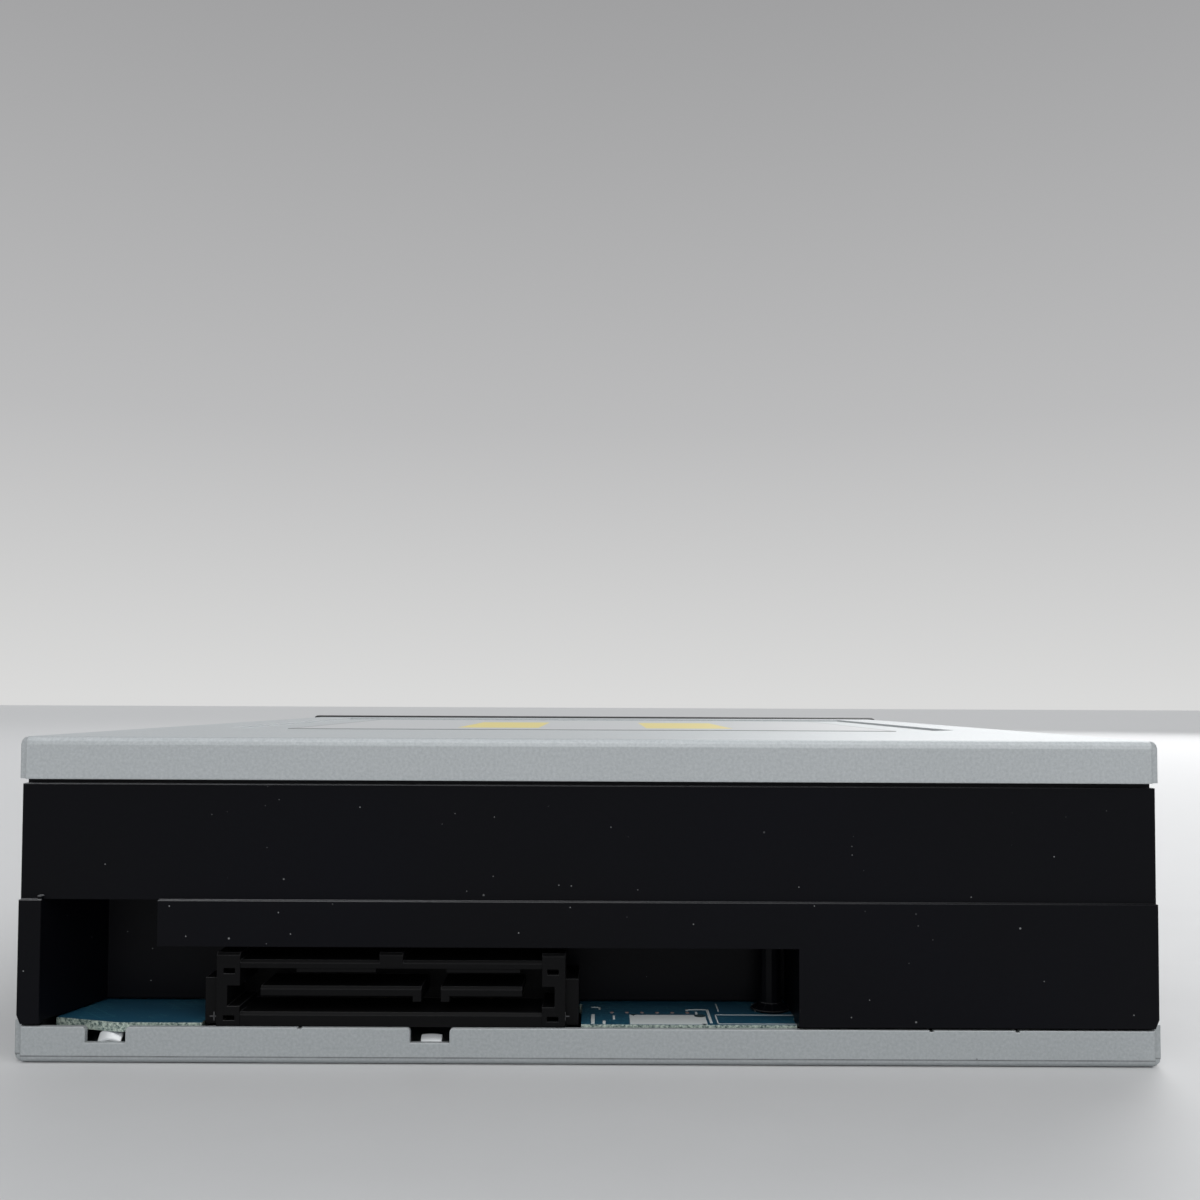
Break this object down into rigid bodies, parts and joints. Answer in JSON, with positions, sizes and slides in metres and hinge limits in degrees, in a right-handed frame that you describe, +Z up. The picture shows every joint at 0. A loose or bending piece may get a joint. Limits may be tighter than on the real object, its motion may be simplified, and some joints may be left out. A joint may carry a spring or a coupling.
{
  "type": "optical disc writer",
  "caption": "Half-height 5.25 inch optical disc drive with motorised tray, tilting laser traverse, steel covers, front panel with button, and combined power and data connector at the rear.",
  "frame": {"origin": "centre of the bounding box in plan, at the underside of the drive, tray closed", "axes": "+Z up; the front panel faces -Y and the connector side +Y, along the direction of the tray; +X is the side of the eject button"},
  "size_m": [0.1482, 0.17, 0.0417],
  "materials": {
    "galvanised_steel": "fine-grained galvanised sheet",
    "bright_steel": "bright plated steel",
    "black_moulding": "satin black moulding",
    "connector_moulding": "dark grey-black nylon",
    "front_panel_black": "fine-textured black moulding",
    "tray_moulding": "dark grey moulding",
    "acetal_white": "off-white acetal",
    "slider_moulding": "grey acetal",
    "board_blue": "blue solder mask on glass laminate",
    "chip_black": "matt moulded package",
    "rubber": "soft black rubber",
    "cast_metal": "die-cast zinc alloy",
    "lens_glass": "coated moulded lens",
    "flex_ribbon": "amber polyimide ribbon",
    "magnet": "plated sintered magnet",
    "thermal_pad": "soft grey thermal pad",
    "light_pipe": "clear acrylic"
  },
  "bodies": {
    "drive": {"bottom_cover": "galvanised_steel", "top_cover": "galvanised_steel", "main_frame": "black_moulding", "front_bezel": "front_panel_black", "led_lens": "light_pipe", "front_board": "board_blue", "eject_switch": "chip_black", "activity_led": "light_pipe", "loading_motor": "bright_steel", "drive_belt": "rubber", "motor_screw_1": "bright_steel", "motor_screw_2": "bright_steel", "clamp_bracket": "galvanised_steel", "circuit_board": "board_blue", "controller_chip": "chip_black", "driver_chip": "chip_black", "memory_chip": "chip_black", "thermal_pad": "thermal_pad", "pickup_flex_socket": "connector_moulding", "front_flex": "flex_ribbon", "pickup_flex": "flex_ribbon", "sata_connector": "connector_moulding", "cover_screw_1": "bright_steel", "cover_screw_2": "bright_steel", "cover_screw_3": "bright_steel", "cover_screw_4": "bright_steel"},
    "tray": {"tray": "tray_moulding", "tray_door": "front_panel_black"},
    "tray_gear": {"tray_gear": "acetal_white"},
    "pulley_gear": {"pulley_gear": "acetal_white"},
    "motor_pulley": {"motor_pulley": "acetal_white"},
    "cam_slider": {"cam_slider": "slider_moulding"},
    "lift": {"lift_frame": "black_moulding", "traverse_plate": "galvanised_steel", "spindle_motor": "bright_steel", "guide_rod_left": "bright_steel", "guide_rod_right": "bright_steel", "sled_motor": "bright_steel", "damper_1": "rubber", "damper_2": "rubber", "damper_3": "rubber", "damper_4": "rubber", "damper_screw_1": "bright_steel", "damper_screw_2": "bright_steel", "damper_screw_3": "bright_steel", "damper_screw_4": "bright_steel"},
    "turntable": {"turntable": "black_moulding"},
    "sled": {"pickup_sled": "cast_metal", "sled_nut": "acetal_white", "pickup_cover": "bright_steel"},
    "lead_screw": {"lead_screw": "bright_steel"},
    "lens": {"lens_holder": "black_moulding", "blue_laser_lens": "lens_glass", "red_laser_lens": "lens_glass"},
    "clamper": {"clamper": "black_moulding", "clamp_magnet": "magnet", "clamp_yoke": "bright_steel"},
    "eject_button": {"eject_button": "front_panel_black"}
  },
  "joints": [
    {"name": "tray_slide", "type": "slide", "parent": "drive", "child": "tray", "axis": [0, -1, 0], "range_m": [0, 0.131]},
    {"name": "tray_gear_spin", "type": "hinge", "parent": "drive", "child": "tray_gear", "pos_m": [0.0465, -0.0615, 0.0143], "axis": [0, 0, 1], "range_deg": [-752.6, 2]},
    {"name": "pulley_gear_spin", "type": "hinge", "parent": "drive", "child": "pulley_gear", "pos_m": [0.0272, -0.0615, 0.0143], "axis": [0, 0, 1], "range_deg": [-6, 2257.7]},
    {"name": "motor_spin", "type": "hinge", "parent": "drive", "child": "motor_pulley", "pos_m": [-0.0081, -0.0625, 0.0166], "axis": [0, 0, 1], "range_deg": [-15, 5419.1]},
    {"name": "cam_slide", "type": "slide", "parent": "drive", "child": "cam_slider", "axis": [1, 0, 0], "range_m": [0, 0.02]},
    {"name": "lift_pivot", "type": "hinge", "parent": "drive", "child": "lift", "pos_m": [0, 0.066, 0.014], "axis": [-1, 0, 0], "range_deg": [0, 5.2]},
    {"name": "spindle_spin", "type": "hinge", "parent": "lift", "child": "turntable", "pos_m": [0, -0.01392, 0.00954], "axis": [0, -0.0906, 0.9959], "continuous": true},
    {"name": "sled_slide", "type": "slide", "parent": "lift", "child": "sled", "axis": [0, 0.9959, 0.0906], "range_m": [0, 0.035]},
    {"name": "lead_screw_spin", "type": "hinge", "parent": "lift", "child": "lead_screw", "pos_m": [0.038, 0.01593, 0.01246], "axis": [0, 0.9959, 0.0906], "range_deg": [-10, 4210]},
    {"name": "lens_focus", "type": "slide", "parent": "sled", "child": "lens", "axis": [0, -0.0906, 0.9959], "range_m": [-0.0004, 0.0004], "stiffness_N_per_m": 60},
    {"name": "clamper_spin", "type": "hinge", "parent": "drive", "child": "clamper", "pos_m": [0, -0.014, 0.036], "axis": [0, 0, 1], "continuous": true},
    {"name": "button_press", "type": "slide", "parent": "drive", "child": "eject_button", "axis": [0, 1, 0], "range_m": [0, 0.0008], "stiffness_N_per_m": 1500, "springref_m": -0.0004}
  ],
  "couplings": [
    {"joint": "tray_gear_spin", "follows": "tray_slide", "rad_per_m": -100},
    {"joint": "pulley_gear_spin", "follows": "tray_slide", "rad_per_m": 300},
    {"joint": "motor_spin", "follows": "tray_slide", "rad_per_m": 720},
    {"joint": "lift_pivot", "follows": "cam_slide", "rad_per_m": 4.537},
    {"joint": "lead_screw_spin", "follows": "sled_slide", "rad_per_m": 2094.4}
  ]
}
